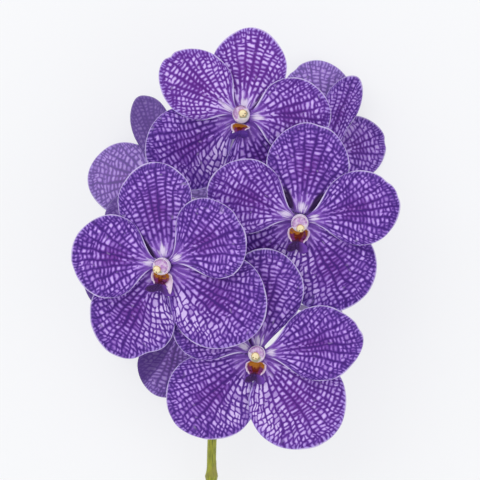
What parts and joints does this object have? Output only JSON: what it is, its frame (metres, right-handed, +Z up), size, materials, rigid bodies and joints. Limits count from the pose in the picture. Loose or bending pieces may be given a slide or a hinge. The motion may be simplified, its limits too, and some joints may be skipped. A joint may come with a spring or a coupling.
{
  "type": "cut vanda orchid",
  "caption": "Cut spray of violet-blue vanda orchid flowers with netted petals on one bare green stem, laid on its back.",
  "frame": {"origin": "middle of the footprint, on the surface that the spray lies on", "axes": "+Z up out of the open faces of the flowers; -Y along the stem towards its cut end; +X to the right, seen from above with the stem pointing towards the viewer"},
  "size_m": [0.177, 0.3656, 0.1013],
  "materials": {
    "sepal": "satin",
    "petal": "satin",
    "lip": "satin",
    "column": "satin",
    "pedicel": "satin",
    "stem": "satin"
  },
  "bodies": {
    "root": {"top_dorsal_sepal": "sepal", "top_petal_left": "petal", "top_petal_right": "petal", "top_lateral_sepal_left": "sepal", "top_lateral_sepal_right": "sepal", "top_lip": "lip", "top_column": "column", "top_pedicel": "pedicel", "right_dorsal_sepal": "sepal", "right_petal_left": "petal", "right_petal_right": "petal", "right_lateral_sepal_left": "sepal", "right_lateral_sepal_right": "sepal", "right_lip": "lip", "right_column": "column", "right_pedicel": "pedicel", "left_dorsal_sepal": "sepal", "left_petal_left": "petal", "left_petal_right": "petal", "left_lateral_sepal_left": "sepal", "left_lateral_sepal_right": "sepal", "left_lip": "lip", "left_column": "column", "left_pedicel": "pedicel", "lower_dorsal_sepal": "sepal", "lower_petal_left": "petal", "lower_petal_right": "petal", "lower_lateral_sepal_left": "sepal", "lower_lateral_sepal_right": "sepal", "lower_lip": "lip", "lower_column": "column", "lower_pedicel": "pedicel", "back_left_dorsal_sepal": "sepal", "back_left_petal_left": "petal", "back_left_petal_right": "petal", "back_left_lateral_sepal_left": "sepal", "back_left_lateral_sepal_right": "sepal", "back_left_lip": "lip", "back_left_column": "column", "back_left_pedicel": "pedicel", "back_right_dorsal_sepal": "sepal", "back_right_petal_left": "petal", "back_right_petal_right": "petal", "back_right_lateral_sepal_left": "sepal", "back_right_lateral_sepal_right": "sepal", "back_right_lip": "lip", "back_right_column": "column", "back_right_pedicel": "pedicel", "back_low_dorsal_sepal": "sepal", "back_low_petal_left": "petal", "back_low_petal_right": "petal", "back_low_lateral_sepal_left": "sepal", "back_low_lateral_sepal_right": "sepal", "back_low_lip": "lip", "back_low_column": "column", "back_low_pedicel": "pedicel", "stem": "stem", "bare_stalk": "pedicel"}
  },
  "joints": []
}
